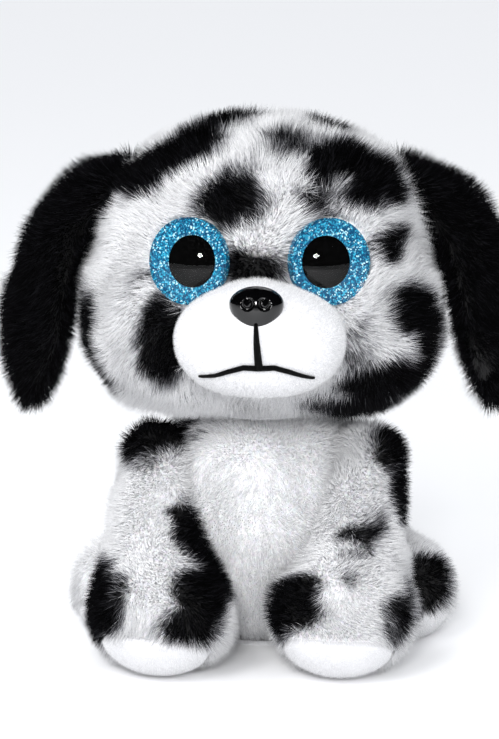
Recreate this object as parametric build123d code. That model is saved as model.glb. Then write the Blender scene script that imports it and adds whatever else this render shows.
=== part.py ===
from build123d import *
import math
import os

# Seated plush puppy with a large head, drooping ears, bead eyes and padded feet.
# Own frame: origin on the floor under the middle of the seat, +Z up, the face looks along -Y,
# and the animal's own left side is +X. All sizes are in millimetres.

# Cloth and stuffing
CLOTH = 1.2             # backing cloth of the pile fabric
SLACK = 0.25            # room between a cloth cover and what fills it
TORSO_SLACK = 0.6       # the same inside the torso, whose wall curves both ways
SWING_GAP = 0.3         # room between a ball of stuffing and the hollow it turns in
REST_GAP = 0.6          # room between a limb and the torso that it lies against
LIFT_GAP = 2.1          # the same for a front leg, which lifts past the belly

# Torso: a pear with a flat seat
TORSO_TOP = 67.0
TORSO_HALF = 30.0
TORSO_BACK_SHIFT = 4.0
SEAT_RADIUS = 21.0
BELLY_TOP_HALF = 23.0
BELLY_FOOT_HALF = 5.0

# Neck: a ball of stuffing, a rolled seam round it, and a hollow in the head
NECK_CENTRE = Vector(0, -1, TORSO_TOP - 5)
NECK_BALL = 18.0
NECK_SEAM = 1.2

# Head: a barrel lying across the body
HEAD_RADIUS = 40.5
HEAD_HALF_WIDTH = HEAD_RADIUS + 7.0
HEAD_END_BALL = HEAD_RADIUS - 4.5       # roundness of the sides of the head
HEAD_CENTRE = NECK_CENTRE + Vector(0, -5, HEAD_RADIUS + 6)
BROW_HALF = 15.0        # half width of the strip that runs over the forehead
BACK_SEAM_Y = 8.0       # where the side panels meet the back panels
CHIN_SEAM_Z = HEAD_CENTRE.Z - 16.5      # where the forehead strip meets the chin panel

# Eyes
EYE_RADIUS = 11.7
EYE_SPREAD = 19.0
EYE_HEIGHT = HEAD_CENTRE.Z + 7.5
EYE_TURN_OUT = 25.0
EYE_TURN_UP = 8.0
EYE_SINK = 1.8          # how far the flat back of the eye presses into the head
EYE_BACK = 1.4
IRIS_THICK = 0.6
IRIS_RADIUS = 11.1
PUPIL_RADIUS = 7.0
PUPIL_INWARD = 1.3      # the pupil sits this far towards the nose
DOME_RISE = 6.0
SHANK_RADIUS = 2.2
EYE_SHANK = 13.0
WASHER_RADIUS = 7.0
WASHER_THICK = 1.2

# Muzzle, nose and mouth
MUZZLE_CENTRE = HEAD_CENTRE - Vector(0, HEAD_RADIUS + 0.5, 11.5)
MUZZLE_HALF_WIDTH = 22.0
MUZZLE_RADIUS = 17.0
MUZZLE_END_BALL = 14.0
NOSE_HALF_WIDTH = 6.6
NOSE_RADIUS = 4.9
NOSE_END_BALL = 4.2
NOSE_ANGLE = 32.0       # how far above level the nose sits on the muzzle
NOSE_SHANK = 9.0
NOSE_SHANK_RADIUS = 1.8
NOSE_WASHER_RADIUS = 5.0
THREAD = 0.6

# Ears
EAR_ROOT = HEAD_CENTRE + Vector(HEAD_HALF_WIDTH - 8.5, 6, 26.5)
EAR_HALF_THICK = 3.6
EAR_HALF_WIDTH = 12.0
EAR_BEAD_HALF = 9.0
EAR_HANG = HEAD_HALF_WIDTH + 14.5       # side offset of the part that hangs straight down
EAR_BEND = EAR_ROOT.Z - 35      # height where the ear starts to hang straight
EAR_SHOULDER_IN = 6.5   # the ear's bend passes this far inside the hanging part
EAR_SHOULDER_UP = 22.0  # and this far above its start
EAR_TIP = EAR_ROOT.Z - 60

# Legs and tail
SHOULDER = Vector(TORSO_HALF - 1, -10, TORSO_TOP - 14)
SHOULDER_BALL = 11.0
FRONT_FOOT = Vector(24, -37, 16.8)
FRONT_FOOT_BALL = 16.5
HIP = Vector(24, 11, 20)
HIP_BALL = 11.5
HIND_FOOT = Vector(42, -3, 13.3)
HIND_FOOT_BALL = 13.0
FRONT_SOLE = (14.0, 11.5)
HIND_SOLE = (9.5, 8.0)
TAIL_ROOT = Vector(0, 34, 14)
TAIL_BALL = 6.5
TAIL_TIP = Vector(0, 48, 20)
TAIL_TIP_BALL = 4.5

FAR = 300.0             # larger than the toy, for half spaces


def half_space(origin, direction):
    """Big block that fills everything on the far side of a plane."""
    plane = Plane(origin=origin, z_dir=direction)
    return plane * Pos(0, 0, FAR / 2) * Box(FAR, FAR, FAR)


def mirrored(shape):
    """The same shape on the animal's other side."""
    return mirror(shape, about=Plane.YZ)


def both(shape):
    """A shape and its mirror image."""
    return [shape, mirrored(shape)]


def capsule(root, tip, root_ball, tip_ball, inset=0.0):
    """Round limb between two balls, its sides tangent to both."""
    near, far = root_ball - inset, tip_ball - inset
    reach = (tip - root).length
    lean = math.asin((far - near) / reach)

    def on_ball(centre, radius, angle):
        return (radius * math.sin(angle), 0, centre + radius * math.cos(angle))

    touch = math.radians(90) + lean
    start = (0, 0, -near)
    end = (0, 0, reach + far)
    near_touch = on_ball(0, near, touch)
    far_touch = on_ball(reach, far, touch)
    middle_near = on_ball(0, near, (math.pi + touch) / 2)
    middle_far = on_ball(reach, far, touch / 2)
    outline = [
        ThreePointArc(start, middle_near, near_touch),
        Line(near_touch, far_touch),
        ThreePointArc(far_touch, middle_far, end),
        Line(end, start),
    ]
    limb = revolve(make_face(Curve() + outline), Axis.Z)
    return Plane(origin=root, z_dir=tip - root) * limb


def barrel(centre, half_width, radius, end_ball):
    """Rounded solid about a line across the body: a bulging middle between two round ends."""
    end_x = half_width - end_ball
    rise = radius - end_ball
    drop = (end_x**2 - rise**2) / (2 * rise)
    bulge = radius + drop
    lean = math.atan2(end_x, drop)
    touch = (bulge * math.sin(lean), bulge * math.cos(lean) - drop, 0)
    cap_lean = (math.radians(90) + lean) / 2
    cap_middle = (end_x + end_ball * math.sin(cap_lean), end_ball * math.cos(cap_lean), 0)
    left_touch = (-touch[0], touch[1], 0)
    left_middle = (-cap_middle[0], cap_middle[1], 0)
    left_end, right_end = (-half_width, 0, 0), (half_width, 0, 0)
    outline = [
        ThreePointArc(left_end, left_middle, left_touch),
        ThreePointArc(left_touch, (0, radius, 0), touch),
        ThreePointArc(touch, cap_middle, right_end),
        Line(right_end, left_end),
    ]
    return Pos(centre) * revolve(make_face(Curve() + outline), Axis.X)


def largest(shape):
    """The main solid of a cut piece, without the crumbs a cut can leave beside it."""
    return max(shape.solids(), key=lambda solid: solid.volume)


nodes = {}


def keep_pair(name, left_shape):
    """Files a shape for the left side and its mirror image for the right side."""
    nodes[name + "_left"] = left_shape
    nodes[name + "_right"] = mirrored(left_shape)


# ---- Legs: a ball at the root, a fatter ball at the foot, and an oval sole -----------------
def front_limb(inset=0.0):
    return capsule(SHOULDER, FRONT_FOOT, SHOULDER_BALL, FRONT_FOOT_BALL, inset)


def hind_limb(inset=0.0):
    return capsule(HIP, HIND_FOOT, HIP_BALL, HIND_FOOT_BALL, inset)


def sole_bar(foot, direction, halves):
    """Oval bar that marks out the sole on the end of a foot."""
    plane = Plane(origin=foot, x_dir=Vector(0, 0, 1).cross(direction), z_dir=direction)
    return plane * extrude(Ellipse(*halves), 40)


def limb_pieces(prefix, limb, seam, bar):
    """Cuts a limb's cover into two panels and a sole, and fills it."""
    cover = limb(0) - limb(CLOTH)
    rest = cover - bar
    keep_pair(prefix + "_sole", cover & bar)
    keep_pair(prefix + "_outer_panel", rest & seam)
    keep_pair(prefix + "_inner_panel", rest - seam)
    keep_pair(prefix + "_stuffing", limb(CLOTH + SLACK))


front_seam = half_space(SHOULDER, Vector(1, -0.1, 0))
front_bar = sole_bar(FRONT_FOOT, FRONT_FOOT - SHOULDER, FRONT_SOLE)
limb_pieces("front_leg", front_limb, front_seam, front_bar)
hind_seam = half_space(HIP, Vector(-0.35, 0.1, 1))
hind_bar = sole_bar(HIND_FOOT, Vector(0.42, -0.5, -0.76), HIND_SOLE)
limb_pieces("hind_leg", hind_limb, hind_seam, hind_bar)


# ---- Tail: a short tapered roll ------------------------------------------------------------
def tail_limb(inset=0.0):
    return capsule(TAIL_ROOT, TAIL_TIP, TAIL_BALL, TAIL_TIP_BALL, inset)


left_half = half_space(Vector(0, 0, 0), Vector(1, 0, 0))
tail_cover = tail_limb(0) - tail_limb(CLOTH)
nodes["tail_panel_left"] = tail_cover & left_half
nodes["tail_panel_right"] = tail_cover - left_half
nodes["tail_stuffing"] = tail_limb(CLOTH + SLACK)


# ---- Torso: pear-shaped cover over stuffing and a pouch of pellets --------------------------
def torso_form(inset=0.0):
    half = TORSO_HALF - inset
    top = TORSO_TOP - inset
    seat_edge = (SEAT_RADIUS - inset * 0.4, 0, inset)
    hip = (half * 0.98, 0, TORSO_TOP * 0.24)
    rib = (half * 0.98, 0, TORSO_TOP * 0.66)
    shoulder = (half * 0.76, 0, top - 3)
    outline = [
        Line((0, 0, inset), seat_edge),
        ThreePointArc(seat_edge, (half * 0.9, 0, 5 + inset * 0.6), hip),
        ThreePointArc(hip, (half, 0, TORSO_TOP * 0.45), rib),
        ThreePointArc(rib, (half * 0.92, 0, TORSO_TOP * 0.84 - inset * 0.4), shoulder),
        Polyline(shoulder, (half * 0.45, 0, top - 0.6), (0, 0, top)),
        Line((0, 0, top), (0, 0, inset)),
    ]
    pear = revolve(make_face(Curve() + outline), Axis.Z)
    return Pos(0, TORSO_BACK_SHIFT, 0) * pear


pressed_in = both(front_limb(-LIFT_GAP)) + both(hind_limb(-REST_GAP))
pressed_in.append(Pos(TAIL_ROOT) * Sphere(TAIL_BALL + LIFT_GAP))
neck_ball = Pos(NECK_CENTRE) * Sphere(NECK_BALL)
neck_hollow = Pos(NECK_CENTRE) * Sphere(NECK_BALL + NECK_SEAM + 2 * SWING_GAP)

torso_cover = torso_form(0) - torso_form(CLOTH)
torso_cover = torso_cover - neck_hollow - pressed_in
belly_outline = Polyline(
    (-BELLY_TOP_HALF, 0, TORSO_TOP),
    (BELLY_TOP_HALF, 0, TORSO_TOP),
    (BELLY_FOOT_HALF, 0, -1),
    (-BELLY_FOOT_HALF, 0, -1),
    close=True,
)
belly_block = extrude(make_face(belly_outline), 60, dir=(0, -1, 0))
seat_block = Pos(0, TORSO_BACK_SHIFT, 0) * Cylinder(SEAT_RADIUS - 1, 6)
nodes["seat_base"] = torso_cover & seat_block
above_seat = torso_cover - seat_block
nodes["belly_panel"] = largest(above_seat & belly_block)
flanks = above_seat - belly_block
nodes["flank_panel_left"] = largest(flanks & left_half)
nodes["flank_panel_right"] = largest(flanks - left_half)

pouch_place = Vector(0, TORSO_BACK_SHIFT + 2, 12)
nodes["pellet_pouch"] = barrel(pouch_place, 15, 8, 7)
neck_bulb = neck_ball - both(front_limb(-LIFT_GAP))
torso_filling = largest(torso_form(CLOTH + TORSO_SLACK) - pressed_in) + neck_bulb
pouch_room = barrel(pouch_place, 15 + SLACK, 8 + SLACK, 7 + SLACK)
nodes["torso_stuffing"] = torso_filling - pouch_room

# ---- Neck seam: the rolled edge where the head is sewn on ----------------------------------
seam_outer = Pos(NECK_CENTRE) * Sphere(NECK_BALL + SWING_GAP + NECK_SEAM)
seam_inner = Pos(NECK_CENTRE) * Sphere(NECK_BALL + SWING_GAP)
seam_band = Pos(NECK_CENTRE + Vector(0, 0, 9.2)) * Box(80, 80, 7.6)
nodes["neck_seam"] = (seam_outer - seam_inner) & seam_band


# ---- Head ----------------------------------------------------------------------------------
def head_form(inset=0.0):
    sizes = [size - inset for size in (HEAD_HALF_WIDTH, HEAD_RADIUS, HEAD_END_BALL)]
    return barrel(HEAD_CENTRE, *sizes)


def barrel_radius(x, half_width, radius, end_ball):
    """Radius of a barrel's bulging middle at a side offset."""
    end_x = half_width - end_ball
    rise = radius - end_ball
    drop = (end_x**2 - rise**2) / (2 * rise)
    return math.sqrt((radius + drop) ** 2 - x**2) - drop


eye_front = HEAD_CENTRE.Y - math.sqrt(
    barrel_radius(EYE_SPREAD, HEAD_HALF_WIDTH, HEAD_RADIUS, HEAD_END_BALL) ** 2
    - (EYE_HEIGHT - HEAD_CENTRE.Z) ** 2
)
turn, lift = math.radians(EYE_TURN_OUT), math.radians(EYE_TURN_UP)
eye_look = Vector(
    math.sin(turn) * math.cos(lift),
    -math.cos(turn) * math.cos(lift),
    math.sin(lift),
)
eye_point = Vector(EYE_SPREAD, eye_front, EYE_HEIGHT)
eye_across = Vector(math.cos(turn), math.sin(turn), 0)
eye_plane = Plane(origin=eye_point - eye_look * EYE_SINK, x_dir=eye_across, z_dir=eye_look)
pupil_plane = Plane(
    origin=eye_plane.origin - eye_across * PUPIL_INWARD,
    x_dir=eye_across,
    z_dir=eye_look,
)


def bar(plane, radius, low, high):
    """Round bar along a plane's normal, between two distances from it."""
    return plane * Pos(0, 0, (low + high) / 2) * Cylinder(radius, high - low)


def eye_dome(radius, low, rise):
    """Cap of a sphere that stands on the eye's rim."""
    ball = (radius**2 + rise**2) / (2 * rise)
    cap = Pos(0, 0, low + rise - ball) * Sphere(ball)
    trim = Pos(0, 0, low + FAR / 2) * Box(FAR, FAR, FAR)
    return eye_plane * (cap & trim)


rim = EYE_BACK + IRIS_THICK
backing = bar(eye_plane, EYE_RADIUS, 0, rim) - bar(eye_plane, IRIS_RADIUS + 0.05, EYE_BACK, rim)
keep_pair("eye_backing", backing + bar(eye_plane, SHANK_RADIUS, -EYE_SHANK, 0))
iris = bar(eye_plane, IRIS_RADIUS, EYE_BACK, rim - 0.02)
keep_pair("eye_iris", iris - bar(pupil_plane, PUPIL_RADIUS + 0.05, EYE_BACK, rim))
keep_pair("eye_pupil", bar(pupil_plane, PUPIL_RADIUS, EYE_BACK, rim - 0.02))
keep_pair("eye_lens", eye_dome(EYE_RADIUS, rim, DOME_RISE))
washer_top = -CLOTH - 0.05
washer_low = washer_top - WASHER_THICK
washer = bar(eye_plane, WASHER_RADIUS, washer_low, washer_top)
keep_pair("eye_washer", washer - bar(eye_plane, SHANK_RADIUS + 0.1, -EYE_SHANK, 0))

seat_reach = EYE_RADIUS + 0.1
seats = both(bar(eye_plane, seat_reach, 0, 20))
deep_seats = both(bar(eye_plane, seat_reach + CLOTH, -CLOTH, 20))
filling_seats = both(bar(eye_plane, seat_reach + CLOTH + SLACK, -CLOTH - SLACK, 20))
shank_holes = both(bar(eye_plane, SHANK_RADIUS + 0.1, -CLOTH - 1, 1))
washer_rooms = both(bar(eye_plane, WASHER_RADIUS + SLACK, washer_low - SLACK, 0))
filling_bores = both(bar(eye_plane, SHANK_RADIUS + SLACK, -EYE_SHANK - 1, 0))


# ---- Ears: a flat padded flap that stands out from its root and then hangs ------------------
def ear_form(inset=0.0):
    """Band of even thickness that bends from level to hanging, as wide as the ear."""
    thick = EAR_HALF_THICK - inset
    root_x, root_z = EAR_ROOT.X + inset, EAR_ROOT.Z
    shoulder_x, shoulder_z = EAR_HANG - EAR_SHOULDER_IN, EAR_BEND + EAR_SHOULDER_UP
    aslant = thick * math.sqrt(0.5)
    tip_z = EAR_TIP + EAR_HALF_THICK
    outer = ThreePointArc(
        (root_x, 0, root_z + thick),
        (shoulder_x + aslant, 0, shoulder_z + aslant),
        (EAR_HANG + thick, 0, EAR_BEND),
    )
    inner = ThreePointArc(
        (EAR_HANG - thick, 0, EAR_BEND),
        (shoulder_x - aslant, 0, shoulder_z - aslant),
        (root_x, 0, root_z - thick),
    )
    tip = ThreePointArc(
        (EAR_HANG + thick, 0, tip_z),
        (EAR_HANG, 0, tip_z - thick),
        (EAR_HANG - thick, 0, tip_z),
    )
    outline = [
        outer,
        Line(outer @ 1, tip @ 0),
        tip,
        Line(tip @ 1, inner @ 0),
        inner,
        Line(inner @ 1, outer @ 0),
    ]
    return extrude(make_face(Curve() + outline), EAR_HALF_WIDTH - inset, dir=(0, 1, 0), both=True)


bead_plane = Plane(origin=EAR_ROOT, z_dir=(0, 1, 0))
ear_bead = bar(bead_plane, EAR_HALF_THICK, -EAR_BEAD_HALF, EAR_BEAD_HALF)
bead_reach = EAR_BEAD_HALF + 0.5
bead_rooms = both(bar(bead_plane, EAR_HALF_THICK + SWING_GAP, -bead_reach, bead_reach))
middle_line = ThreePointArc(
    (EAR_ROOT.X, 0, EAR_ROOT.Z),
    (EAR_HANG - EAR_SHOULDER_IN, 0, EAR_BEND + EAR_SHOULDER_UP),
    (EAR_HANG, 0, EAR_BEND),
)
under_ear = EAR_TIP - 35
inside_ear = EAR_ROOT.X - 29
lining_outline = [
    middle_line,
    Polyline(
        middle_line @ 1,
        (EAR_HANG, 0, under_ear),
        (inside_ear, 0, under_ear),
        (inside_ear, 0, EAR_ROOT.Z),
        middle_line @ 0,
    ),
]
lining_side = extrude(make_face(Curve() + lining_outline), 40, dir=(0, 1, 0), both=True)
grown_head = head_form(-0.5)
ear_cover = (ear_form(0) - ear_form(CLOTH)) - grown_head
ear_lining = ear_cover & lining_side
keep_pair("ear_lining", ear_lining)
keep_pair("ear_outer", (ear_cover - lining_side) + ear_bead - ear_lining)
keep_pair("ear_padding", ear_form(CLOTH + 0.1) - grown_head - ear_bead)

# Head cover, cut for the eyes, the neck and the ear roots
head_cover = (head_form(0) - seats) - (head_form(CLOTH) - deep_seats)
head_cover = head_cover - shank_holes - neck_hollow - bead_rooms
brow = Pos(0, 0, 150) * Box(2 * BROW_HALF, FAR, FAR)
rear = half_space(Vector(0, BACK_SEAM_Y, 0), Vector(0, 1, 0))
low = half_space(Vector(0, 0, CHIN_SEAM_Z), Vector(0, 0, -1))
front_cover = head_cover - rear
middle = front_cover & brow
sides = front_cover - brow
back_cover = head_cover & rear
nodes["forehead_panel"] = middle - low
nodes["chin_panel"] = largest(middle & low)
nodes["cheek_panel_left"] = largest(sides & left_half)
nodes["cheek_panel_right"] = largest(sides - left_half)
nodes["nape_panel_left"] = back_cover & left_half
nodes["nape_panel_right"] = back_cover - left_half
head_filling = head_form(CLOTH + SLACK) - filling_seats - washer_rooms - filling_bores
nodes["head_stuffing"] = head_filling - neck_hollow - bead_rooms


# ---- Muzzle: a barrel of short-pile cloth over stuffing, with the nose and mouth -------------
def muzzle_form(inset=0.0):
    sizes = [size - inset for size in (MUZZLE_HALF_WIDTH, MUZZLE_RADIUS, MUZZLE_END_BALL)]
    return barrel(MUZZLE_CENTRE, *sizes)


def muzzle_skin(x, z, lift=0.0):
    """Point on the front of the muzzle at a side offset and height."""
    sizes = [size + lift for size in (MUZZLE_HALF_WIDTH, MUZZLE_RADIUS, MUZZLE_END_BALL)]
    radius = barrel_radius(x, *sizes)
    return Vector(x, MUZZLE_CENTRE.Y - math.sqrt(radius**2 - (z - MUZZLE_CENTRE.Z) ** 2), z)


nose_angle = math.radians(NOSE_ANGLE)
nose_look = Vector(0, -math.cos(nose_angle), math.sin(nose_angle))
nose_centre = MUZZLE_CENTRE + nose_look * (MUZZLE_RADIUS + 0.8)
nose_plane = Plane(origin=nose_centre, x_dir=(1, 0, 0), z_dir=nose_look)


def nose_form(grow=0.0):
    sizes = [size + grow for size in (NOSE_HALF_WIDTH, NOSE_RADIUS, NOSE_END_BALL)]
    return barrel(nose_centre, *sizes)


nose = nose_form() + bar(nose_plane, NOSE_SHANK_RADIUS, -NOSE_RADIUS - NOSE_SHANK, 0)
for side in (-1, 1):
    nose = nose - nose_plane * Pos(side * 2.3, 0.8, NOSE_RADIUS) * Cylinder(0.8, 1.6)
nodes["nose"] = nose
nose_washer_top = -NOSE_RADIUS - CLOTH - 0.15
nose_washer_low = nose_washer_top - WASHER_THICK
nose_washer = bar(nose_plane, NOSE_WASHER_RADIUS, nose_washer_low, nose_washer_top)
nodes["nose_washer"] = nose_washer - bar(nose_plane, NOSE_SHANK_RADIUS + 0.1, -30, 0)

eye_rooms = both(bar(eye_plane, EYE_RADIUS + 0.15, -1, rim)) + both(
    eye_dome(EYE_RADIUS + 0.15, rim, DOME_RISE + 0.15)
)
muzzle_cover = (muzzle_form(0) - nose_form(0.06)) - (muzzle_form(CLOTH) - nose_form(CLOTH + 0.06))
muzzle_cover = muzzle_cover - bar(nose_plane, NOSE_SHANK_RADIUS + 0.1, -30, 0)
muzzle_cover = muzzle_cover - head_form(-0.05) - eye_rooms


def thread_run(points, radius):
    """Round thread laid over the front of the muzzle through (side, height) pairs."""
    path = Spline(*[muzzle_skin(x, z, radius * 0.5) for x, z in points])
    return sweep(Plane(origin=path @ 0, z_dir=path % 0) * Circle(radius), path=path)


lip = MUZZLE_CENTRE.Z - 6.6
centre_thread = thread_run([(0, lip + 9), (0, lip + 5.6), (0, lip + 2.6), (0, lip)], THREAD * 1.15)
side_line = [(1.3, lip - 0.5), (5, lip - 0.4), (9, lip - 1.6), (13.6, lip - 3.8)]
side_thread = thread_run(side_line, THREAD)
nodes["mouth_centre_thread"] = centre_thread
keep_pair("mouth_side_thread", side_thread)
muzzle_cover = muzzle_cover - centre_thread - both(side_thread)
seam_level = half_space(MUZZLE_CENTRE + Vector(0, 1, -7.5), Vector(0, 0.2, -1))
nodes["muzzle_top_panel"] = largest(muzzle_cover - seam_level)
nodes["muzzle_lower_panel"] = muzzle_cover & seam_level
muzzle_filling = muzzle_form(CLOTH + SLACK) - nose_form(CLOTH + SLACK + 0.06)
muzzle_filling = muzzle_filling - bar(nose_plane, NOSE_SHANK_RADIUS + SLACK, -30, 0)
muzzle_filling = muzzle_filling - bar(
    nose_plane, NOSE_WASHER_RADIUS + SLACK, nose_washer_low - SLACK, nose_washer_top + SLACK
)
eye_margins = both(bar(eye_plane, EYE_RADIUS + CLOTH + SLACK, -2, rim + DOME_RISE))
nodes["muzzle_stuffing"] = muzzle_filling - head_form(-SLACK) - eye_margins

os.makedirs("parts", exist_ok=True)
for name, shape in nodes.items():
    solids = shape.solids()
    box = shape.bounding_box()
    print(f"{name:26s} solids {len(solids)} volume {shape.volume:10.1f}", end=" ")
    print(f"z {box.min.Z:7.2f} to {box.max.Z:7.2f}")
    export_step(shape, f"parts/{name}.step")
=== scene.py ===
import math

import bmesh
import bpy
import numpy as np
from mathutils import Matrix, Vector


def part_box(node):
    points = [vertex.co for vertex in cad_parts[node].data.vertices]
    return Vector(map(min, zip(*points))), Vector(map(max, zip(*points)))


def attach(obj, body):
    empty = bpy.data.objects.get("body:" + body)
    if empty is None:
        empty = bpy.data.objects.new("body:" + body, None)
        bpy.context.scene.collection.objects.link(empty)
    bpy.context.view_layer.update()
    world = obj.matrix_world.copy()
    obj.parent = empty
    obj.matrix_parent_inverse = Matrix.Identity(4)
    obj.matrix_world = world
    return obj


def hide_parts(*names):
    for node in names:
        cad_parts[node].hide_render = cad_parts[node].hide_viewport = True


# A seated plush puppy: long white pile with black patches, long black ears, big glitter bead eyes,
# a smooth white muzzle with a glossy nose and stitched mouth, and smooth white soles.

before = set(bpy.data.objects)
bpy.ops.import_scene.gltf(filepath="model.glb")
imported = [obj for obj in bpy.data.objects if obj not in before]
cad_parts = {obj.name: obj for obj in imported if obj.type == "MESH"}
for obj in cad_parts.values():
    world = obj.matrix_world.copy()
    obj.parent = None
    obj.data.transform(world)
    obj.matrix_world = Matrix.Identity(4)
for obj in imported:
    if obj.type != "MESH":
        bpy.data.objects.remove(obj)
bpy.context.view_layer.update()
scene = bpy.context.scene
MM = 0.001
UNDERSIDE = 0.9    # cloth that sits on the floor lies this far above it, in mm
SIDES = (("left", 1), ("right", -1))


# ---- Camera, floor and light ----------------------------------------------------------------
# A level, nearly frontal portrait from a little above, on a pale seamless floor under soft light.
def look_from(obj, aim, azimuth, elevation, distance):
    """Puts an object on a sphere round a point, facing that point; angles in degrees, mm."""
    turn, rise = math.radians(azimuth), math.radians(elevation)
    away = Vector((math.sin(turn) * math.cos(rise), -math.cos(turn) * math.cos(rise), math.sin(rise)))
    obj.location = (Vector(aim) + away * distance) * MM
    obj.rotation_euler = away.to_track_quat("Z", "Y").to_euler()


portrait_aim = (-4.0, 0, 77.5)
camera = bpy.data.objects.new("camera", bpy.data.cameras.new("camera"))
camera.data.lens = 118.8
camera.data.sensor_width = 36
camera.data.clip_end = 20
scene.collection.objects.link(camera)
look_from(camera, portrait_aim, azimuth=2, elevation=12, distance=700)
scene.camera = camera

world = bpy.data.worlds.new("studio")
world.use_nodes = True
world.node_tree.nodes["Background"].inputs["Color"].default_value = (0.95, 0.97, 1.0, 1)
world.node_tree.nodes["Background"].inputs["Strength"].default_value = 1.0
scene.world = world
world.cycles_visibility.glossy = False


def area_light(name, azimuth, elevation, distance, size, power):
    light = bpy.data.lights.new(name, "AREA")
    light.shape = "DISK"
    light.size = size * MM
    light.energy = power
    obj = bpy.data.objects.new(name, light)
    scene.collection.objects.link(obj)
    look_from(obj, (0, 0, 90), azimuth, elevation, distance)
    return obj


key_light = area_light("key_light", azimuth=-26, elevation=40, distance=900, size=420, power=3.8)
fill_light = area_light("fill_light", azimuth=35, elevation=12, distance=900, size=500, power=0.8)
eye_light = area_light("eye_light", azimuth=-2, elevation=22, distance=800, size=150, power=2.8)
key_light.visible_glossy = False
fill_light.visible_glossy = False
scene.view_settings.view_transform = "Standard"


def shader_of(finish):
    """Main shader of a material."""
    return finish.node_tree.nodes["Principled BSDF"]


def material(name, colour, roughness, **settings):
    """Material whose constants sit on the shader's own sockets, named like the sockets."""
    made = bpy.data.materials.new(name)
    made.use_nodes = True
    shader = shader_of(made)
    shader.inputs["Base Color"].default_value = (*colour, 1)
    shader.inputs["Roughness"].default_value = roughness
    for key, value in settings.items():
        socket = key.replace("_", " ").title().replace("Ior", "IOR")
        shader.inputs[socket].default_value = value
    return made


def mesh_object(name, points, faces, finish):
    """Mesh piece from points in mm."""
    mesh = bpy.data.meshes.new(name)
    mesh.from_pydata((np.asarray(points) * MM).tolist(), [], faces)
    mesh.materials.append(finish)
    mesh.polygons.foreach_set("use_smooth", [True] * len(mesh.polygons))
    obj = bpy.data.objects.new(name, mesh)
    scene.collection.objects.link(obj)
    return obj


floor_finish = material(
    "floor_paper", (0.9, 0.9, 0.91), 0.9, emission_color=(1, 1, 1, 1), emission_strength=0.06,
)
FLOOR_HALF = 9000
floor = mesh_object(
    "floor",
    [(x * FLOOR_HALF, y * FLOOR_HALF, 0) for x, y in ((-1, -1), (1, -1), (1, 1), (-1, 1))],
    [(0, 1, 2, 3)],
    floor_finish,
)


# ---- Soft forms -----------------------------------------------------------------------------
# The stuffed parts are rounded masses that run into each other, so each cover is grown from
# its middle out to where a blend of soft balls ends.
def ball(points, centre, half):
    """Rough distance in mm to a stretched ball; negative inside."""
    scaled = np.linalg.norm((points - np.array(centre)) / np.array(half), axis=1)
    return (scaled - 1) * min(half)


def limb(points, root, tip, root_radius, tip_radius):
    """Distance in mm to a tapered round limb."""
    root, tip = np.array(root, float), np.array(tip, float)
    line = tip - root
    share = np.clip((points - root) @ line / (line @ line), 0, 1)
    middle = root + share[:, None] * line
    return np.linalg.norm(points - middle, axis=1) - (root_radius + (tip_radius - root_radius) * share)


def melt(first, *others, width=8.0):
    """Union of distances with a fillet where they meet."""
    joined = first
    for other in others:
        share = np.clip(0.5 + 0.5 * (other - joined) / width, 0, 1)
        joined = other * (1 - share) + joined * share - width * share * (1 - share)
    return joined


def grown(name, centre, form, finish, detail=6, reach=95.0):
    """Closed skin pushed out from a centre until the form ends."""
    mesh = bpy.data.meshes.new(name)
    shell = bmesh.new()
    bmesh.ops.create_icosphere(shell, subdivisions=detail, radius=1)
    shell.to_mesh(mesh)
    shell.free()
    rays = np.empty(len(mesh.vertices) * 3)
    mesh.vertices.foreach_get("co", rays)
    rays = rays.reshape(-1, 3)
    rays /= np.linalg.norm(rays, axis=1)[:, None]
    near, far = np.zeros(len(rays)), np.full(len(rays), reach)
    for _ in range(16):
        middle = (near + far) / 2
        inside = form(np.array(centre) + rays * middle[:, None]) < 0
        near, far = np.where(inside, middle, near), np.where(inside, far, middle)
    places = (np.array(centre) + rays * near[:, None]) * MM
    mesh.vertices.foreach_set("co", places.ravel())
    mesh.polygons.foreach_set("use_smooth", [True] * len(mesh.polygons))
    mesh.materials.append(finish)
    mesh.update()
    obj = bpy.data.objects.new(name, mesh)
    scene.collection.objects.link(obj)
    return obj


# ---- Pile -----------------------------------------------------------------------------------
# The pile is thousands of fine tapered fibres, each a thin three-sided spike rooted in the
# cloth. Every fibre takes one of six shades between white and black, so patches have hairy edges.
rng = np.random.default_rng(11)
SHADES = [
    (0.90, 0.90, 0.91), (0.68, 0.68, 0.70), (0.32, 0.32, 0.34),
    (0.13, 0.13, 0.14), (0.016, 0.016, 0.019), (0.0012, 0.0012, 0.0016),
]
DARK_FROM = 3           # shades from this number on are the dark ones, without sheen
pile_finishes = [
    material(
        f"pile_shade_{number}",
        shade,
        0.8,
        sheen_weight=0.3 if number < DARK_FROM else 0.0,
        sheen_roughness=0.5,
        specular_ior_level=0.25 if number < DARK_FROM else 0.06,
    )
    for number, shade in enumerate(SHADES)
]
PIECE_FIBRES = 48000    # the most fibres in one object
ROOT_DEPTH = 0.35       # how far a fibre's root sinks into the cloth, in mm
FLOOR_CLEARANCE = 0.4   # fibres that would pass through the floor lie this far above it, in mm


def waves(points, size, seed, channels=1):
    """Smooth seeded noise from -1 to 1; size is the width of a bump in mm."""
    source = np.random.default_rng(seed)
    total = np.zeros((len(points), channels))
    for _ in range(7):
        facing = source.normal(size=(3, channels))
        facing *= 2.2 / size / np.linalg.norm(facing, axis=0)
        total += np.sin(points @ facing + source.uniform(0, 6.28, channels))
    return total / 3.2


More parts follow.
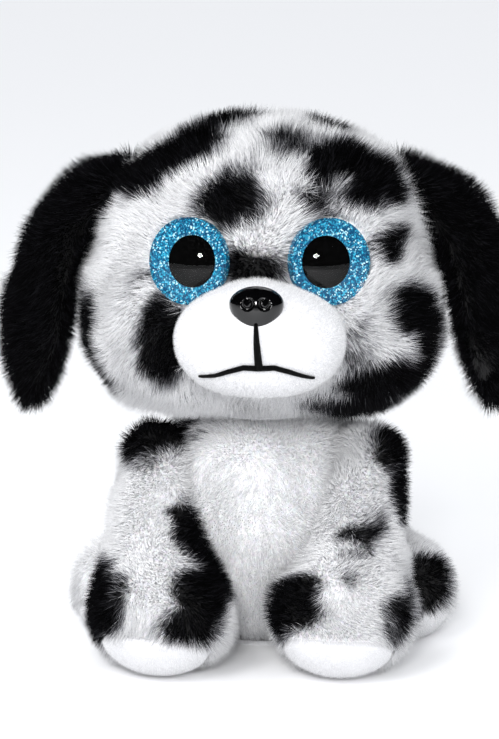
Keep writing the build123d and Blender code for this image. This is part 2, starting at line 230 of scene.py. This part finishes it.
def coat_depth(points, patches, seed=5):
    """Distance in mm outside the nearest black patch, with a ragged edge."""
    if not len(patches):
        return np.full(len(points), 20.0)
    depth = np.full(len(points), 1e9)
    for x, y, z, across, deep, tall, *darkest in patches:
        half = np.array([across, deep, tall])
        away = (np.linalg.norm((points - [x, y, z]) / half, axis=1) - 1) * (across + tall) / 2
        depth = np.minimum(depth, np.maximum(away, darkest[0] if darkest else -20))
    return depth + waves(points, 7.0, seed)[:, 0] * 2.0 + waves(points, 2.5, seed + 1)[:, 0] * 1.0


def shade_of(depth, spread=2.4):
    """Shade number of each fibre: mixed within a few mm of a patch's edge."""
    level = 0.5 - depth / (2 * spread) + rng.normal(0, 0.16, len(depth))
    steps = np.clip((level * 6).astype(int), 0, 5)
    steps = np.where((steps == 0) & (rng.random(len(depth)) < 0.28), 1, steps)
    return np.where((steps == 5) & (rng.random(len(depth)) < 0.12), 4, steps)


def vertex_values(mesh, field):
    """Places (in metres) or normals of a mesh's vertices."""
    values = np.empty(len(mesh.vertices) * 3)
    mesh.vertices.foreach_get(field, values)
    return values.reshape(-1, 3)


def scatter(skin, count):
    """Random points spread evenly over a skin, in mm, and the skin's direction at each."""
    mesh = skin.data
    mesh.calc_loop_triangles()
    places, normals = vertex_values(mesh, "co") / MM, vertex_values(mesh, "normal")
    corners = np.empty(len(mesh.loop_triangles) * 3, int)
    mesh.loop_triangles.foreach_get("vertices", corners)
    corners = corners.reshape(-1, 3)
    a, b, c = places[corners[:, 0]], places[corners[:, 1]], places[corners[:, 2]]
    area = np.linalg.norm(np.cross(b - a, c - a), axis=1)
    chosen = rng.choice(len(area), count, p=area / area.sum())
    u, v = rng.random(count), rng.random(count)
    folded = u + v > 1
    u, v = np.where(folded, 1 - u, u)[:, None], np.where(folded, 1 - v, v)[:, None]
    points = a[chosen] * (1 - u - v) + b[chosen] * u + c[chosen] * v
    up = normals[corners[chosen, 0]] * (1 - u - v) + normals[corners[chosen, 1]] * u
    up += normals[corners[chosen, 2]] * v
    return points, up / np.linalg.norm(up, axis=1)[:, None]


def fibre_object(name, roots, tips, side, other, shades, width):
    """One object of closed three-sided spikes; side and other span each spike's root."""
    total = len(roots)
    points = np.empty((total, 4, 3))
    for corner in range(3):
        angle = corner * math.tau / 3
        spoke = side * math.cos(angle) + other * math.sin(angle)
        points[:, corner] = roots + spoke * width / 2
    points[:, 3] = tips
    first = np.arange(total)[:, None] * 4
    sides = ([0, 1, 3], [1, 2, 3], [2, 0, 3], [2, 1, 0])
    faces = np.stack([first + corners for corners in sides], 1)
    mesh = bpy.data.meshes.new(name)
    mesh.vertices.add(total * 4)
    mesh.vertices.foreach_set("co", (points * MM).ravel())
    mesh.loops.add(total * 12)
    mesh.loops.foreach_set("vertex_index", faces.astype(np.int32).ravel())
    mesh.polygons.add(total * 4)
    mesh.polygons.foreach_set("loop_start", np.arange(0, total * 12, 3, dtype=np.int32))
    mesh.polygons.foreach_set("material_index", np.repeat(shades, 4).astype(np.int32))
    mesh.polygons.foreach_set("use_smooth", np.ones(total * 4, bool))
    for finish in pile_finishes:
        mesh.materials.append(finish)
    mesh.update(calc_edges=True)
    obj = bpy.data.objects.new(name, mesh)
    scene.collection.objects.link(obj)
    return obj


def pile(name, body, skin, count, length, patches, comb, keep=None, width=0.22, lean=0.6,
         curl=0.4):
    """Plants fibres on a skin, leaning along the comb direction, and shades them by the patches."""
    roots, up = scatter(skin, count)
    if keep is not None:
        kept = keep(roots)
        roots, up = roots[kept], up[kept]
    flow = comb(roots)
    flow -= up * np.sum(flow * up, axis=1)[:, None]
    flow /= np.maximum(np.linalg.norm(flow, axis=1), 1e-6)[:, None]
    tuft = waves(roots, 5.5, 21, 3) * 0.65 + waves(roots, 14.0, 31, 3) * 0.35
    way = up + flow * lean + tuft * curl * 2 + rng.normal(0, curl * 0.55, roots.shape)
    way /= np.linalg.norm(way, axis=1)[:, None]
    reach = length * rng.uniform(0.72, 1.12, len(roots)) * (1 + 0.12 * waves(roots, 7.0, 41)[:, 0])
    side = np.cross(way, rng.normal(size=way.shape))
    side /= np.linalg.norm(side, axis=1)[:, None]
    other = np.cross(way, side)
    tips = roots + way * reach[:, None]
    low = tips[:, 2] < FLOOR_CLEARANCE
    tips[low, 2] = FLOOR_CLEARANCE + rng.random(low.sum()) * 0.5
    shades = shade_of(coat_depth(roots, patches))
    sunk = roots - up * ROOT_DEPTH
    for number, start in enumerate(range(0, len(roots), PIECE_FIBRES)):
        part = slice(start, start + PIECE_FIBRES)
        fibres = fibre_object(
            f"{name}_{number}", sunk[part], tips[part], side[part], other[part], shades[part], width,
        )
        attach(fibres, body)


def away_from(*centre):
    """Comb direction: out from a point."""
    return lambda points: points - np.array(centre, float)


def towards(*direction):
    """Comb direction: one way all over."""
    return lambda points: np.tile(np.array(direction, float), (len(points), 1))


def paint_coat(skin, patches):
    """Stores how black the cloth is under the pile as a colour attribute."""
    depth = coat_depth(vertex_values(skin.data, "co") / MM, patches)
    black = np.clip(0.5 - depth / 2, 0, 1)
    tone = (1 - black) * 0.8 + black * 0.012
    layer = skin.data.color_attributes.new("coat", "FLOAT_COLOR", "POINT")
    colours = np.stack([tone, tone, tone * 1.02, np.ones_like(tone)], 1)
    layer.data.foreach_set("color", colours.ravel())


def texture(finish, kind, scale):
    """Texture node of a kind, laid in the object's own coordinates."""
    nodes, links = finish.node_tree.nodes, finish.node_tree.links
    pattern = nodes.new(kind)
    pattern.inputs["Scale"].default_value = scale
    place = nodes.new("ShaderNodeTexCoord")
    links.new(place.outputs["Object"], pattern.inputs["Vector"])
    return pattern


def bump(finish, height, distance, strength=1.0):
    """Raises the surface by a pattern, by a distance in metres."""
    relief = finish.node_tree.nodes.new("ShaderNodeBump")
    relief.inputs["Strength"].default_value = strength
    relief.inputs["Distance"].default_value = distance
    links = finish.node_tree.links
    links.new(height, relief.inputs["Height"])
    links.new(relief.outputs["Normal"], shader_of(finish).inputs["Normal"])


cloth_finish = material("coat_cloth", (0.8, 0.8, 0.8), 0.95)
knit = texture(cloth_finish, "ShaderNodeTexNoise", 900)
coat_colour = cloth_finish.node_tree.nodes.new("ShaderNodeAttribute")
coat_colour.attribute_name = "coat"
knit_mix = cloth_finish.node_tree.nodes.new("ShaderNodeMix")
knit_mix.data_type = "RGBA"
knit_mix.blend_type = "MULTIPLY"
knit_mix.inputs["Factor"].default_value = 0.25
links = cloth_finish.node_tree.links
links.new(coat_colour.outputs["Color"], knit_mix.inputs["A"])
links.new(knit.outputs["Color"], knit_mix.inputs["B"])
links.new(knit_mix.outputs["Result"], shader_of(cloth_finish).inputs["Base Color"])


def cover(name, body, centre, form, patches, replaced, detail=6):
    """A stuffed cover: grown, coloured, tied to its body and standing for its CAD panels."""
    skin = grown(name, centre, form, cloth_finish, detail)
    paint_coat(skin, patches)
    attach(skin, body)
    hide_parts(*replaced)
    return skin


# ---- Torso ----------------------------------------------------------------------------------
# Pear-shaped body under one cover, with patched pile over the flanks and shorter, denser white
# pile over the belly.
def torso_shape(p):
    pear = melt(
        ball(p, (0, 5, 24), (33, 30, 26)), ball(p, (0, 3, 46), (30, 26, 24)),
        ball(p, (0, -12, 36), (20, 17, 27)), width=12,
    )
    return np.maximum(pear, UNDERSIDE - p[:, 2])


BELLY_CENTRE, BELLY_HALF = (0, -26, 38), (24, 20, 36)    # bounds of the short white belly pile
SEAT_EDGE = 1.5    # the underside below this height bears no pile, in mm
torso_patches = [
    (-33, -12, 62, 13, 18, 8), (37, -14, 60, 8, 16, 8), (40, -16, 49, 7, 18, 9),
    (20, 30, 42, 13, 12, 16), (-24, 28, 22, 12, 12, 13),
]
torso_skin = cover(
    "torso_cover", "torso", (0, 2, 32), torso_shape, torso_patches,
    ["belly_panel", "flank_panel_left", "flank_panel_right", "torso_stuffing"],
)


def on_belly(p):
    return ball(p, BELLY_CENTRE, BELLY_HALF) < 0


pile("torso_pile", "torso", torso_skin, 62000, 4.6, torso_patches, towards(0, 0.1, -1),
     keep=lambda p: ~on_belly(p) & (p[:, 2] > SEAT_EDGE))
pile("belly_pile", "torso", torso_skin, 104000, 2.6, [], towards(0, 0, -1),
     keep=on_belly, width=0.2, lean=0.5)

# ---- Legs -----------------------------------------------------------------------------------
# Front legs run from the shoulders down and forwards to fat feet whose smooth white soles turn
# down and forwards. Hind legs lie out at the sides.
sole_cloth = material("sole_cloth", (0.9, 0.9, 0.91), 0.85, sheen_weight=0.3)
nap = texture(sole_cloth, "ShaderNodeTexNoise", 1400)
nap.inputs["Detail"].default_value = 6
nap_ramp = sole_cloth.node_tree.nodes.new("ShaderNodeValToRGB")
nap_ramp.color_ramp.elements[0].color = (0.52, 0.52, 0.54, 1)
nap_ramp.color_ramp.elements[1].color = (0.74, 0.74, 0.75, 1)
sole_links = sole_cloth.node_tree.links
sole_links.new(nap.outputs["Fac"], nap_ramp.inputs["Fac"])
sole_links.new(nap_ramp.outputs["Color"], shader_of(sole_cloth).inputs["Base Color"])
bump(sole_cloth, nap.outputs["Fac"], distance=0.0004, strength=0.35)


SOLE_PROUD = 1.1    # the soles stand out of the legs by this, in mm


def leg(prefix, side, form, centre, sole_centre, sole_half, patches, count, length, comb):
    """One stuffed leg with its pile and its smooth sole."""
    name = f"{prefix}_{side}"
    skin = cover(
        f"{name}_cover", name, centre, form, patches,
        [f"{prefix}_{piece}_{side}" for piece in ("outer_panel", "inner_panel", "stuffing")],
    )

    def sole_shape(p):
        return np.maximum(ball(p, sole_centre, sole_half), form(p) - SOLE_PROUD)

    sole = grown(f"{name}_sole", sole_centre, sole_shape, sole_cloth, detail=5, reach=30)
    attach(sole, name)
    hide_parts(f"{prefix}_sole_{side}")
    pile(f"{name}_pile", name, skin, count, length, patches, comb,
         keep=lambda p: (ball(p, sole_centre, sole_half) > 0.4) & (p[:, 2] > 0.8))
    pile(f"{name}_sole_nap", name, sole, 9000, 0.7, [], towards(0, 0, -1), width=0.13, lean=0.3,
         keep=lambda p: np.abs(form(p) - SOLE_PROUD) < 0.4)


FRONT_PATCHES = {
    "right": [
        (-44, -44, 24, 8, 16, 13), (-46, -46, 14, 5, 12, 7), (-18, -33, 40, 7, 12, 12),
        (-14, -46, 28, 9, 16, 12), (-19, -58, 19, 10, 11, 6), (-33, -12, 62, 13, 18, 8),
    ],
    "left": [
        (7, -50, 22, 10, 15, 9), (40, -49, 22, 6, 14, 9), (38, -14, 60, 8, 16, 8),
        (41, -16, 48, 6, 18, 9), (26, -42, 38, 4, 10, 11, 1.2), (31, -34, 47, 3, 10, 6, 1.6),
    ],
}
HIND_PATCHES = {
    "right": [(-42, 20, 14, 12, 10, 10)],
    "left": [(50, -17, 20, 9, 12, 8), (36, 22, 18, 12, 10, 12)],
}
for side, sign in SIDES:
    def front_shape(p, sign=sign):
        return np.maximum(melt(
            limb(p, (29.5 * sign, -8, 53), (27 * sign - 2, -33, 22), 9.5, 13.5),
            ball(p, (24.5 * sign - 2, -38, 15.5), (18, 18, 15)), width=9,
        ), UNDERSIDE - p[:, 2])

    leg(
        "front_leg", side, front_shape, centre=(27 * sign - 2, -26, 29),
        sole_centre=(25 * sign - 3, -46, 9.5), sole_half=(14.8, 12, 9),
        patches=FRONT_PATCHES[side], count=44000, length=4.4, comb=towards(0, -0.3, -1),
    )

    def hind_shape(p, sign=sign):
        return np.maximum(melt(
            limb(p, (25 * sign, 11, 20), (40 * sign, -2, 15), 14, 11.5),
            ball(p, (41 * sign, -4, 12.5), (12, 14, 12)), width=8,
        ), UNDERSIDE - p[:, 2])

    leg(
        "hind_leg", side, hind_shape, centre=(36 * sign, 2, 17),
        sole_centre=(44 * sign, -9, 7), sole_half=(9.5, 9.5, 7),
        patches=HIND_PATCHES[side], count=22000, length=3.8, comb=towards(0.3 * sign, -0.1, -1),
    )

# ---- Tail -----------------------------------------------------------------------------------
# A short stuffed tail at the back, curled up a little.
TAIL_PATCHES = [(0, 48, 21, 9, 8, 7)]
tail_skin = cover(
    "tail_cover", "tail", (0, 40, 17), lambda p: limb(p, (0, 33, 14), (0, 47, 20), 6.2, 4.5),
    TAIL_PATCHES, ["tail_panel_left", "tail_panel_right", "tail_stuffing"], detail=4,
)
pile("tail_pile", "tail", tail_skin, 7000, 5.0, TAIL_PATCHES, towards(0, 0.6, 0.8))


# ---- Head -----------------------------------------------------------------------------------
# A wide soft head: one cover for forehead, cheeks, chin and nape, dented where the eyes press in.
eye_axes = {}
for side, _ in SIDES:
    low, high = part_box(f"eye_pupil_{side}")
    pupil = np.array((low + high) / 2) / MM
    low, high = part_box(f"eye_washer_{side}")
    washer = np.array((low + high) / 2) / MM
    out = pupil - washer
    eye_axes[side] = (pupil, out / np.linalg.norm(out))


HOLLOW_RADIUS, HOLLOW_FLOOR = 11.8, -1.9    # dents under the eyes; the floor is behind the pupil
BARE_RADIUS, BARE_FLOOR = 11.9, -6          # no pile grows within this of an eye's axis


def eye_hollow(p, radius, depth):
    """Distance to the round hollows that the eyes sit in."""
    hollow = np.full(len(p), 1e9)
    for pupil, out in eye_axes.values():
        along = (p - pupil) @ out
        around = np.linalg.norm(p - pupil - along[:, None] * out, axis=1)
        hollow = np.minimum(hollow, np.maximum(around - radius, depth - along))
    return hollow


def head_shape(p):
    soft = melt(
        ball(p, (0, -5, 107), (45, 40, 38.5)), ball(p, (26.5, -12, 93.5), (21, 26, 22)),
        ball(p, (-26.5, -12, 93.5), (21, 26, 22)), ball(p, (0, -6, 125), (39, 32, 22.5)), width=10,
    )
    return np.maximum(soft, -eye_hollow(p, HOLLOW_RADIUS, HOLLOW_FLOOR))


def muzzle_shape(p):
    return melt(
        ball(p, (-8, -49, 96.5), (14, 17, 12)), ball(p, (9, -49, 96.5), (14, 17, 12)),
        ball(p, (0.5, -50, 90), (15.5, 14, 8.5)), ball(p, (0, -50, 102.5), (11.5, 16, 9.5)), width=6,
    )


head_patches = [
    # Right of the crown, down to the root of the ear, and the brow.
    (-10, -8, 150, 9, 14, 6), (-17, -20, 145, 9, 12, 8), (-25, -24, 141, 9, 11, 8),
    (-32, -22, 137, 11, 13, 10), (-41, -15, 134, 9, 14, 8), (-8, -40, 131, 11, 9, 8),
    # Left of the crown.
    (9, -29, 144, 7, 10, 6), (16, -31, 140, 8, 10, 7.5), (24, -24, 141, 9, 12, 8),
    (32, -22, 136, 8, 12, 8), (27, -32, 132, 7, 9, 6), (16, -9, 150, 7, 9, 4.5),
    (19, -36, 134, 9, 9, 6, 0.5),
    # Beside the left eye, between the eyes, and below the right eye.
    (37, -33, 119, 10, 10, 5.5), (-1, -48, 114.5, 11, 10, 6.5), (-25, -41, 94, 7, 10, 12),
    # Left cheek, from the ear round under the chin.
    (42, -33, 101, 12, 14, 8), (47, -28, 91, 8, 15, 11), (34, -34, 82, 11, 13, 8),
    (26, -26, 74, 13, 14, 6.5), (42, -26, 82, 9, 13, 9),
    # Right cheek beside the ear.
    (-48, -23, 90, 5, 13, 14), (-43, -21, 79, 5, 11, 8),
    # Fainter grey smudges.
    (30, -40, 92, 6, 9, 8, 0.8), (2, -40, 142, 5, 9, 8, 2.2), (-30, -40, 106, 9, 9, 5, 2.4),
    # Back of the head.
    (28, 22, 118, 16, 14, 15), (-20, 28, 96, 17, 12, 16), (16, 24, 84, 10, 14, 9),
]
head_skin = cover(
    "head_cover", "head", (0, -6, 108), head_shape, head_patches,
    ["forehead_panel", "chin_panel", "cheek_panel_left", "cheek_panel_right", "nape_panel_left",
     "nape_panel_right", "head_stuffing"],
)


def head_keep(p):
    clear_of_eyes = eye_hollow(p, BARE_RADIUS, BARE_FLOOR) > 0
    clear_of_muzzle = muzzle_shape(p) > 1.0
    return clear_of_eyes & clear_of_muzzle


def head_comb(p):
    """Out from the nose over the face, down over the nape."""
    return (p - np.array([0, -58, 106])) / 40 + np.array([0, 0, -0.25])


pile("head_pile", "head", head_skin, 158000, 5.2, head_patches, head_comb, keep=head_keep)

# ---- Muzzle ---------------------------------------------------------------------------------
# Smooth short-napped white cloth over stuffing.
muzzle = grown("muzzle_cover", (0, -50, 95), muzzle_shape, sole_cloth, detail=6, reach=40)
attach(muzzle, "head")
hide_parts("muzzle_top_panel", "muzzle_lower_panel", "muzzle_stuffing")
pile("muzzle_nap", "head", muzzle, 46000, 0.85, [], away_from(0, -70, 106), width=0.14, lean=0.5,
     keep=lambda p: p[:, 1] < -44)


def on_muzzle(x, z, lift=0.0):
    """Point on the front of the muzzle at a side offset and height, in mm."""
    near, far = -50.0, -85.0
    for _ in range(20):
        middle = (near + far) / 2
        if muzzle_shape(np.array([[x, middle, z]]))[0] < 0:
            near = middle
        else:
            far = middle
    return Vector((x, near - lift, z))


# ---- Mouth ----------------------------------------------------------------------------------
# Black thread: one thick upright stitch under the nose and a gently drooping line each way.
thread_finish = material("mouth_thread", (0.002, 0.002, 0.002), 0.7, specular_ior_level=0.1)
twist = texture(thread_finish, "ShaderNodeTexWave", 900)
bump(thread_finish, twist.outputs["Fac"], distance=0.0002)


STITCH_STEPS = 6
THREAD_LIFT, END_LIFT = 0.75, 0.4    # the thread's middle and its end lie this far off the cloth


def stitch(name, replaced, points, radius):
    """Round thread lying on the muzzle through (side, height) points."""
    curve = bpy.data.curves.new(name, "CURVE")
    curve.dimensions = "3D"
    curve.bevel_depth = radius * MM
    curve.bevel_resolution = 3
    curve.use_fill_caps = True
    run = curve.splines.new("POLY")
    places = []
    for (x0, z0), (x1, z1) in zip(points, points[1:]):
        for share in np.arange(STITCH_STEPS) / STITCH_STEPS:
            places.append(on_muzzle(x0 + (x1 - x0) * share, z0 + (z1 - z0) * share, THREAD_LIFT))
    places.append(on_muzzle(*points[-1], END_LIFT))
    run.points.add(len(places) - 1)
    for step, (point, place) in enumerate(zip(run.points, places)):
        point.co = (*(place * MM), 1)
        point.radius = 1 - 0.55 * (step / len(places)) ** 2
    curve.materials.append(thread_finish)
    obj = bpy.data.objects.new(name, curve)
    scene.collection.objects.link(obj)
    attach(obj, "head")
    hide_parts(replaced)


stitch("mouth_upright", "mouth_centre_thread", [(0.8, 92), (0.5, 95), (0.2, 99), (0, 103.5)], 1.05)
for side, sign in SIDES:
    droop = [
        (0.8, 92), (0.8 + 4 * sign, 92.2), (0.8 + 8 * sign, 91), (0.8 + 11.5 * sign, 89.6),
        (15 * sign, 88.6),
    ]
    stitch(f"mouth_line_{side}", f"mouth_side_thread_{side}", droop, 0.75)

# ---- Nose -----------------------------------------------------------------------------------
# Glossy moulded nose, wider at the top, with two ring nostrils.
nose_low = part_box("nose")[0]
gloss_finish = material(
    "nose_gloss", (0.001, 0.001, 0.0012), 0.1, coat_weight=0.3, coat_roughness=0.04,
    specular_ior_level=0.4,
)
mottle = texture(gloss_finish, "ShaderNodeTexNoise", 500)
bump(gloss_finish, mottle.outputs["Fac"], distance=0.00008)
nose_middle = (0, nose_low.y / MM + 4.4, 106.6)
NOSTRIL_OFFSET, NOSTRIL_RADIUS, NOSTRIL_GROOVE = 2.15, 1.35, 0.42


def nose_shape(p):
    body = melt(
        ball(p, (0, nose_middle[1], 108.2), (7.1, 5.2, 4.6)),
        ball(p, (0, nose_middle[1] + 0.3, 104), (5.2, 4.8, 4.2)), width=3,
    )
    for sign in (-1, 1):
        place = np.array([sign * NOSTRIL_OFFSET, nose_middle[1] - 4.6, 109.0])
        around = np.hypot(p[:, 0] - place[0], p[:, 2] - place[2])
        ring = np.hypot(around - NOSTRIL_RADIUS, (p[:, 1] - place[1]) * 0.6) - NOSTRIL_GROOVE
        body = np.maximum(body, -ring)
    return body


nose = grown("nose_bead", nose_middle, nose_shape, gloss_finish, detail=6, reach=12)
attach(nose, "head")
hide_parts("nose")

# ---- Eyes -----------------------------------------------------------------------------------
# Moulded bead eyes: clear dome over a blue glitter iris and a black pupil, on a backing whose
# rim glitters too.
glitter_finish = material("glitter", (0.02, 0.3, 0.5), 0.35, metallic=0.3)
flakes = texture(glitter_finish, "ShaderNodeTexVoronoi", 2600)
flake_ramp = glitter_finish.node_tree.nodes.new("ShaderNodeValToRGB")
flake_ramp.color_ramp.elements[0].color = (0.0, 0.045, 0.13, 1)
flake_ramp.color_ramp.elements[1].color = (0.75, 1.0, 1.0, 1)
for place, colour in ((0.55, (0.0, 0.13, 0.27, 1)), (0.85, (0.04, 0.5, 0.75, 1))):
    flake_ramp.color_ramp.elements.new(place).color = colour
flake_split = glitter_finish.node_tree.nodes.new("ShaderNodeSeparateColor")
flake_links = glitter_finish.node_tree.links
flake_links.new(flakes.outputs["Color"], flake_split.inputs["Color"])
flake_links.new(flake_split.outputs["Red"], flake_ramp.inputs["Fac"])
flake_links.new(flake_ramp.outputs["Color"], shader_of(glitter_finish).inputs["Base Color"])
bump(glitter_finish, flake_split.outputs["Green"], distance=0.0003)

pupil_finish = gloss_finish.copy()
pupil_finish.name = "pupil_gloss"
pupil_shader = shader_of(pupil_finish)
pupil_shader.inputs["Coat Weight"].default_value = 0
pupil_shader.inputs["Specular IOR Level"].default_value = 0.02
pupil_shader.inputs["Roughness"].default_value = 0.5
pupil_shader.inputs["Base Color"].default_value = (0.001, 0.001, 0.001, 1)

lens_finish = bpy.data.materials.new("clear_dome")
lens_finish.use_nodes = True
lens_nodes, lens_links = lens_finish.node_tree.nodes, lens_finish.node_tree.links
lens_nodes.remove(shader_of(lens_finish))
clear = lens_nodes.new("ShaderNodeBsdfTransparent")
shine = lens_nodes.new("ShaderNodeBsdfGlossy")
shine.inputs["Roughness"].default_value = 0.0
dome_mix = lens_nodes.new("ShaderNodeMixShader")
dome_mix.inputs["Fac"].default_value = 0.022
lens_links.new(clear.outputs["BSDF"], dome_mix.inputs[1])
lens_links.new(shine.outputs["BSDF"], dome_mix.inputs[2])
lens_links.new(dome_mix.outputs["Shader"], lens_nodes["Material Output"].inputs["Surface"])

washer_finish = gloss_finish.copy()
washer_finish.name = "washer_plastic"
shader_of(washer_finish).inputs["Base Color"].default_value = (0.75, 0.75, 0.72, 1)


def dress(node_name, finish):
    """Gives a piece that keeps its CAD shape its finish."""
    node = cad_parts[node_name]
    node.data.materials.clear()
    node.data.materials.append(finish)


for side, _ in SIDES:
    dress(f"eye_lens_{side}", lens_finish)
    dress(f"eye_iris_{side}", glitter_finish)
    dress(f"eye_pupil_{side}", pupil_finish)
    dress(f"eye_backing_{side}", glitter_finish)
    dress(f"eye_washer_{side}", washer_finish)

# ---- Hidden pieces --------------------------------------------------------------------------
# The nose washer, the rolled neck seam, the seat cloth and the pouch of pellets inside the seat.
dress("nose_washer", washer_finish)
dress("neck_seam", sole_cloth)
dress("seat_base", sole_cloth)
dress("pellet_pouch", sole_cloth)

# ---- Ears -----------------------------------------------------------------------------------
# Long soft flaps of black plush, padded thinly, that stand out at the root and then hang.
EAR_LINE = [
    (36, 0, 135), (44, -0.5, 132), (53, -1, 124), (60, -1.5, 113.5), (63.5, -2, 101),
    (65, -2, 90), (66, -2, 79), (66.5, -2, 70),
]
EAR_WIDTHS = [7, 10, 12.5, 14, 14.5, 13.5, 10, 3]
EAR_THICKS = [3.0, 3.8, 4.4, 4.8, 5.2, 5.0, 4.0, 1.6]
EAR_ROWS, EAR_AROUND = 40, 28
ALL_BLACK = [(0, 0, 100, 300, 300, 300)]


def ear_mesh(name, sign):
    """Closed flat tube that follows the ear's line, with its half width and thickness at each row."""
    spine = np.array(EAR_LINE, float) * [sign, 1, 1]
    stations = range(len(spine))
    at = np.linspace(0, len(spine) - 1, EAR_ROWS)
    line = np.stack([np.interp(at, stations, spine[:, axis]) for axis in range(3)], 1)
    for _ in range(4):
        line[1:-1] = (line[:-2] + line[1:-1] * 2 + line[2:]) / 4
    wide = np.interp(at, stations, EAR_WIDTHS)
    thick = np.interp(at, stations, EAR_THICKS)
    ways = np.gradient(line, axis=0)
    ways /= np.linalg.norm(ways, axis=1)[:, None]
    points, faces = [], []
    for row in range(EAR_ROWS):
        across = np.array([0.5 * sign, 0.86, 0])
        across -= ways[row] * (across @ ways[row])
        across /= np.linalg.norm(across)
        flat = np.cross(ways[row], across)
        for step in range(EAR_AROUND):
            angle = math.tau * step / EAR_AROUND
            edge = across * wide[row] * math.cos(angle)
            points.append(line[row] + edge + flat * thick[row] * math.sin(angle))
    for row in range(EAR_ROWS - 1):
        upper, lower = row * EAR_AROUND, (row + 1) * EAR_AROUND
        for step in range(EAR_AROUND):
            after = (step + 1) % EAR_AROUND
            faces.append((upper + step, upper + after, lower + after, lower + step))
    faces.append(tuple(range(EAR_AROUND))[::-1])
    faces.append(tuple((EAR_ROWS - 1) * EAR_AROUND + step for step in range(EAR_AROUND)))
    ear = mesh_object(name, points, faces, cloth_finish)
    outward = bmesh.new()
    outward.from_mesh(ear.data)
    bmesh.ops.recalc_face_normals(outward, faces=outward.faces)
    outward.to_mesh(ear.data)
    outward.free()
    return ear


def ear_comb(p):
    """Down along the ear and a little outwards."""
    return np.stack([np.sign(p[:, 0]) * 0.4, p[:, 1] * 0.05, np.full(len(p), -1.0)], 1)


for side, sign in SIDES:
    ear = ear_mesh(f"ear_cover_{side}", sign)
    paint_coat(ear, ALL_BLACK)
    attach(ear, f"ear_{side}")
    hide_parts(f"ear_outer_{side}", f"ear_lining_{side}", f"ear_padding_{side}")
    pile(f"ear_pile_{side}", f"ear_{side}", ear, 34000, 5.6, ALL_BLACK, ear_comb)
